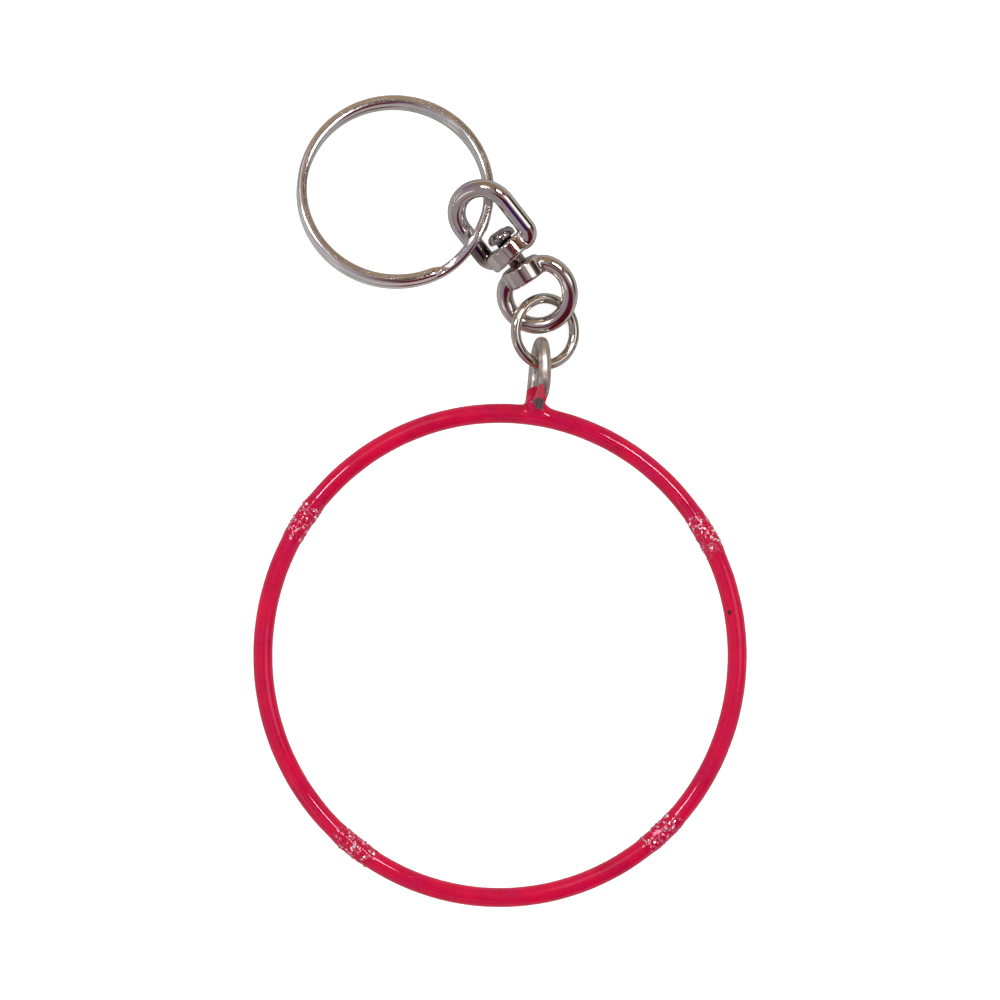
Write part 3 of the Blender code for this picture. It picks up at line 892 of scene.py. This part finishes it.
def add_lower_eye(nickel):
    """Cast round eye that flows into its collar."""
    angles = np.linspace(0.0, math.tau, LOWER_EYE_POINTS)
    across = LOWER_EYE_RADIUS * np.cos(angles)
    height = LOWER_EYE_RADIUS * np.sin(angles)
    over = height - LOWER_FLAT_HEIGHT
    height = (height + LOWER_FLAT_HEIGHT - np.hypot(over, LOWER_FLAT_SOFTNESS)) / 2.0
    curve = np.stack([across, height], axis=1)

    def field(x, y, z):
        ring = np.sqrt(plane_distance(x, y, curve) ** 2 + z * z) - LOWER_WIRE_RADIUS
        body = collar_field(x, y, z, LOWER_COLLAR_RADIUS, LOWER_COLLAR_START, LOWER_COLLAR_END)
        joined = smooth_min(ring, body, CAST_BLEND)
        bore = RIVET_RADIUS + RIVET_PRESS_GAP
        return bored(joined, x, y, z, bore, LOWER_BORE_START, LOWER_BORE_END)

    reach = LOWER_EYE_RADIUS + LOWER_WIRE_RADIUS + CAST_MARGIN
    corner = np.array((reach, reach, LOWER_COLLAR_RADIUS + CAST_MARGIN))
    points, faces, normals = implicit_solid(field, -corner, corner, CAST_CELL)
    add_piece("swivel_eye", points, faces, "lower_swivel", ["lower_swivel_eye"],
              [nickel], lower_swivel_frame(), normals)


def add_rivet(nickel):
    """Stem and peened head."""
    top = RIVET_HEAD_START + RIVET_HEAD_HEIGHT
    shoulder = top - RIVET_HEAD_ROUNDING
    crown = RIVET_HEAD_RADIUS - RIVET_HEAD_ROUNDING
    profile = [
        (RIVET_AXIS_RADIUS, LOWER_COLLAR_START),
        (RIVET_RADIUS - RIVET_EDGE, LOWER_COLLAR_START),
        (RIVET_RADIUS, LOWER_COLLAR_START + RIVET_EDGE),
        (RIVET_RADIUS, RIVET_HEAD_START - RIVET_NECK_HEIGHT),
        (RIVET_RADIUS + RIVET_NECK_WIDTH, RIVET_HEAD_START),
        (RIVET_HEAD_RADIUS - RIVET_HEAD_EDGE, RIVET_HEAD_START),
        (RIVET_HEAD_RADIUS, RIVET_HEAD_START + RIVET_HEAD_EDGE),
    ]
    profile += arc(crown, shoulder, RIVET_HEAD_ROUNDING, RIVET_HEAD_ROUNDING, 0.0, 90.0,
                   RIVET_ROUNDING_STEPS).tolist()
    for share in (0.8, 0.6, 0.4, 0.2, 0.01):
        profile.append((crown * share, top + RIVET_CROWN_HEIGHT * (1.0 - share * share)))
    points, faces = turned(profile, RIVET_SIDES)
    dents = np.sin(3.1 * points[:, 0] + 1.0) * np.sin(3.7 * points[:, 2] + 2.0)
    on_head = np.clip((points[:, 1] - RIVET_HEAD_START) / RIVET_HEAD_HEIGHT, 0.0, 1.0)
    points[:, 1] -= RIVET_DENTS * on_head * (dents + 1.0)
    piece = add_piece("peened_rivet", points, faces, "lower_swivel", ["swivel_rivet"],
                      [nickel], lower_swivel_frame())
    piece.data.set_sharp_from_angle(angle=math.radians(SHARP_ANGLE))


def arc(centre_x, centre_y, half_x, half_y, start, end, steps):
    """Points on an oval arc, from the start angle to the end angle in degrees."""
    angles = np.radians(np.linspace(start, end, steps + 1))
    return np.stack([centre_x + half_x * np.cos(angles), centre_y + half_y * np.sin(angles)], axis=1)


def add_bow(nickel):
    """Cast stirrup bow that flows into its collar."""
    corner = BOW_HALF_WIDTH - BOW_CORNER_RADIUS
    small = BOW_CORNER_RADIUS
    curve = np.vstack([
        arc(corner, small, small, small, 270.0, 360.0, BOW_CORNER_STEPS),
        arc(0.0, BOW_TOP_CENTRE, BOW_HALF_WIDTH, BOW_TOP_RISE, 0.0, 180.0, BOW_TOP_STEPS),
        arc(-corner, small, small, small, 180.0, 270.0, BOW_CORNER_STEPS),
    ])
    curve[:, 0] += BOW_SHIFT + BOW_LEAN * curve[:, 1]
    half = BOW_COLLAR_HEIGHT / 2.0
    centre = lower_swivel_frame() @ Vector((0.0, BOW_ALONG_RIVET, 0.0))
    bow_frame = plane_frame(centre, BOW_AZIMUTH, BOW_PITCH, BOW_ROLL)
    collar_frame = plane_frame(centre, BOW_AZIMUTH, BOW_COLLAR_PITCH, BOW_ROLL)
    to_collar = np.array(collar_frame.inverted() @ bow_frame)

    def field(x, y, z):
        bow = np.sqrt(plane_distance(x, y, curve) ** 2 + z * z) - BOW_WIRE_RADIUS
        own = [row[0] * x + row[1] * y + row[2] * z for row in to_collar[:3, :3]]
        body = collar_field(*own, BOW_COLLAR_RADIUS, -half, half)
        joined = smooth_min(bow, body, CAST_BLEND)
        return bored(joined, *own, BOW_BORE_RADIUS, -BOW_BORE_REACH, BOW_BORE_REACH)

    wide = BOW_HALF_WIDTH + BOW_WIRE_RADIUS + 1.0
    top = BOW_TOP_CENTRE + BOW_TOP_RISE + BOW_WIRE_RADIUS + CAST_MARGIN
    thick = BOW_COLLAR_RADIUS + 0.5
    low, high = (-wide, -half - 0.8, -thick), (wide, top, thick)
    points, faces, normals = implicit_solid(field, low, high, CAST_CELL)
    add_piece("stirrup_bow", points, faces, "upper_swivel", ["upper_swivel_bow"],
              [nickel], bow_frame, normals)


def ring_wire_outline():
    """Rounded outline of the flat wire, as (outward, upward) distances from its middle."""
    outline = []
    for start, side_x, side_y in ((270.0, 1, -1), (0.0, 1, 1), (90.0, -1, 1), (180.0, -1, -1)):
        centre_x = side_x * (RING_WIRE_WIDTH / 2.0 - RING_WIRE_CORNER)
        centre_y = side_y * (RING_WIRE_HEIGHT / 2.0 - RING_WIRE_CORNER)
        outline.append(arc(centre_x, centre_y, RING_WIRE_CORNER, RING_WIRE_CORNER, start, start + 90.0,
                           RING_CORNER_STEPS))
    return np.vstack(outline)


def smooth_step(share):
    """Rise from 0 to 1 that starts and ends level."""
    share = min(max(share, 0.0), 1.0)
    return share * share * (3.0 - 2.0 * share)


def add_split_ring(nickel):
    """Two turns of flat wire and their crossover."""
    start = RING_CROSSOVER_START + RING_CROSSOVER_SPAN + RING_END_GAP
    turn_span = 360.0 - RING_CROSSOVER_SPAN - RING_END_GAP
    total = 2.0 * turn_span + RING_CROSSOVER_SPAN
    level = (RING_WIRE_HEIGHT + RING_TURN_GAP) / 2.0
    middle_radius = RING_OUTER_RADIUS - RING_WIRE_WIDTH / 2.0
    steps = round(total / RING_STEP)
    outline = ring_wire_outline()
    points = []
    for step in range(steps + 1):
        travelled = total * step / steps
        climb = smooth_step((travelled - turn_span) / RING_CROSSOVER_SPAN)
        from_end = min(travelled, total - travelled)
        scale = RING_END_SCALE + (1.0 - RING_END_SCALE) * smooth_step(from_end / RING_END_TAPER)
        angle = math.radians(start + travelled)
        radius = middle_radius + scale * outline[:, 0]
        height = level * (2.0 * climb - 1.0) + scale * outline[:, 1]
        points.append(np.stack([radius * math.cos(angle), radius * math.sin(angle), height], axis=1))
    faces = [face[::-1] for face in tube_faces(steps + 1, len(outline), closed=False)]
    ring_frame = plane_frame(SPLIT_RING_CENTRE, RING_AZIMUTH, RING_PITCH)
    piece = add_piece("key_ring_coil", np.vstack(points), faces, "key_ring", ["split_ring"],
                      [nickel], ring_frame)
    piece.data.set_sharp_from_angle(angle=math.radians(SHARP_ANGLE))


# ---------------------------------------------------------------- studio


# What bright metal mirrors, from the back to the front. Each patch is an oval on the sky: the place
# of its middle and its half sizes in degrees east and north of straight up, its turn in degrees,
# how soft its rim is, and its colour.
ROOM = (
    ((10.0, 85.0), (95.0, 62.0), 0.0, 0.30, (0.35, 0.235, 0.145)),
    ((-72.0, 42.0), (34.0, 34.0), 0.0, 0.35, (0.24, 0.19, 0.25)),
    ((-98.0, -8.0), (30.0, 42.0), 0.0, 0.30, (0.47, 0.44, 0.40)),
    ((-10.0, -96.0), (34.0, 26.0), 0.0, 0.35, (0.25, 0.175, 0.13)),
    ((36.0, -62.0), (30.0, 50.0), 15.0, 0.12, (0.105, 0.008, 0.007)),
    ((11.0, -26.5), (28.0, 12.5), -6.0, 0.15, (0.11, 0.010, 0.012)),
    ((84.0, 14.0), (28.0, 34.0), 10.0, 0.20, (0.040, 0.036, 0.018)),
    ((11.0, 16.0), (8.0, 30.0), -20.0, 0.25, (0.070, 0.046, 0.034)),
    ((5.0, -27.0), (9.5, 4.0), 41.0, 0.25, (0.014, 0.010, 0.15)),
    ((-46.0, -33.0), (9.0, 5.5), 40.0, 0.20, (1.1, 1.1, 1.12)),
    ((42.0, 5.5), (17.0, 10.5), 20.0, 0.08, (1.30, 1.30, 1.33)),
    ((25.0, 16.5), (30.0, 6.5), 41.5, 0.20, (0.13, 0.026, 0.022)),
    ((-13.0, 27.0), (8.0, 15.0), 8.0, 0.08, (1.10, 1.10, 1.12)),
    ((19.4, 21.8), (5.6, 7.0), 48.0, 0.10, (27.0, 25.8, 27.0)),
    ((-22.0, 20.0), (5.5, 5.5), 0.0, 0.10, (25.0, 24.0, 25.0)),
)
ROOM_BASE = (0.34, 0.29, 0.32)
ROOM_WARP = 7.0
ROOM_WARP_SIZE = 0.45
DOME_ZENITH = (1.70, 1.70, 1.70)
DOME_HORIZON = (0.70, 0.70, 0.71)
DOME_AXIS = (0.0, 0.36, 0.93)
BACKDROP = (1.0, 1.0, 1.0)


def flattened(tree, vector):
    """Vector without its Z."""
    split = add_node(tree, "ShaderNodeSeparateXYZ", {"Vector": vector})
    inputs = {axis: split.outputs[axis] for axis in ("X", "Y")}
    return add_node(tree, "ShaderNodeCombineXYZ", inputs).outputs["Vector"]


def sky_place(tree, ray):
    """Degrees east and north of straight up, slightly warped."""
    height = add_node(tree, "ShaderNodeSeparateXYZ", {"Vector": ray}).outputs["Z"]
    heading = vector_node(tree, "NORMALIZE", {0: flattened(tree, ray)})
    tilt = math_node(tree, "MULTIPLY", math_node(tree, "ARCCOSINE", height, 0.0), math.degrees(1.0))
    flat = vector_node(tree, "SCALE", {0: heading, "Scale": tilt})
    waves = add_node(tree, "ShaderNodeTexNoise", {"Vector": ray, "Scale": 1.0 / ROOM_WARP_SIZE})
    even = vector_node(tree, "SUBTRACT", {0: waves.outputs["Color"], 1: (0.5, 0.5, 0.5)})
    warp = vector_node(tree, "SCALE", {0: even, "Scale": 2.0 * ROOM_WARP})
    return flattened(tree, vector_node(tree, "ADD", {0: flat, 1: warp}))


def add_studio():
    """White dome for soft light, and a room with windows and lamps for what shines to mirror."""
    world = bpy.data.worlds.new("studio")
    bpy.context.scene.world = world
    world.use_nodes = True
    world.cycles.sampling_method = "NONE"
    tree = world.node_tree
    ray = add_node(tree, "ShaderNodeTexCoord").outputs["Generated"]
    place = sky_place(tree, ray)
    height = vector_node(tree, "DOT_PRODUCT", {0: ray, 1: DOME_AXIS}, "Value")
    dome = mix_colour(tree, remap(tree, height, -0.2, 1.0), DOME_HORIZON, DOME_ZENITH)
    room = ROOM_BASE
    for middle, half_sizes, turn, softness, colour in ROOM:
        inputs = {"Vector": place, "Location": (*middle, 0.0), "Scale": (*half_sizes, 1.0)}
        inputs["Rotation"] = (0.0, 0.0, math.radians(turn))
        own = add_node(tree, "ShaderNodeMapping", inputs, vector_type="TEXTURE").outputs["Vector"]
        gap = vector_node(tree, "LENGTH", {0: own}, "Value")
        room = mix_colour(tree, remap(tree, gap, 1.0 + softness, 1.0 - softness), room, colour)
    path = add_node(tree, "ShaderNodeLightPath")
    light = mix_colour(tree, path.outputs["Is Glossy Ray"], dome, room)
    light = mix_colour(tree, path.outputs["Is Camera Ray"], light, BACKDROP)
    background = tree.nodes["Background"]
    tree.links.new(light, background.inputs["Color"])


def add_floor():
    """Floor under the chain."""
    half = FLOOR_SIZE / 2.0 * MM
    corners = [(x * half, y * half, 0.0) for x, y in ((-1, -1), (1, -1), (1, 1), (-1, 1))]
    data = bpy.data.meshes.new("floor")
    data.from_pydata(corners, [], [(0, 1, 2, 3)])
    data.materials.append(floor_white())
    floor = bpy.data.objects.new("floor", data)
    bpy.context.collection.objects.link(floor)


def add_camera():
    """Long lens that looks straight down."""
    data = bpy.data.cameras.new("camera")
    data.sensor_width = SENSOR_WIDTH
    data.lens = SENSOR_WIDTH * CAMERA_DISTANCE / VIEW_WIDTH
    data.clip_start = CAMERA_NEAR * MM
    data.clip_end = CAMERA_FAR * MM
    camera = bpy.data.objects.new("camera", data)
    bpy.context.collection.objects.link(camera)
    camera.location = (VIEW_CENTRE + Vector((0.0, 0.0, CAMERA_DISTANCE))) * MM
    bpy.context.scene.camera = camera


def build():
    """The whole scene."""
    scene = bpy.context.scene
    scene.view_settings.view_transform = "Standard"
    enamel = crimson_enamel()
    swivel = lower_swivel_frame()
    # Spots of painted shade in the swivel's corners, placed along its rivet, for the bright plate.
    painted_shade_spots = [(swivel @ Vector((across, along, 0.0)), radius) for along, across, radius in CREASE_SHADE_SPOTS]
    bright = nickel_plate("nickel_plate_bright", (0.80, 0.76, 0.73), 0.05, painted_shade_spots)
    warm = nickel_plate("nickel_plate_warm", (0.74, 0.70, 0.62), 0.07)
    satin = nickel_plate("nickel_plate_satin", (0.96, 0.97, 0.98), 0.055)
    add_hoop(enamel)
    add_glitter_bands(glitter_varnish(), glitter_flakes())
    add_hanging_eye(dull_steel(), cut_end())
    add_solder(enamel)
    add_link(warm)
    add_lower_eye(bright)
    # Painted shade: the rivet gets a much darker plate than the rest of the swivel, standing in for the
    # shade and dark reflections round its head.
    add_rivet(nickel_plate("rivet_plate_darkened", (0.42, 0.39, 0.40), 0.08))
    add_bow(bright)
    add_split_ring(satin)
    add_floor()
    add_studio()
    add_camera()


build()
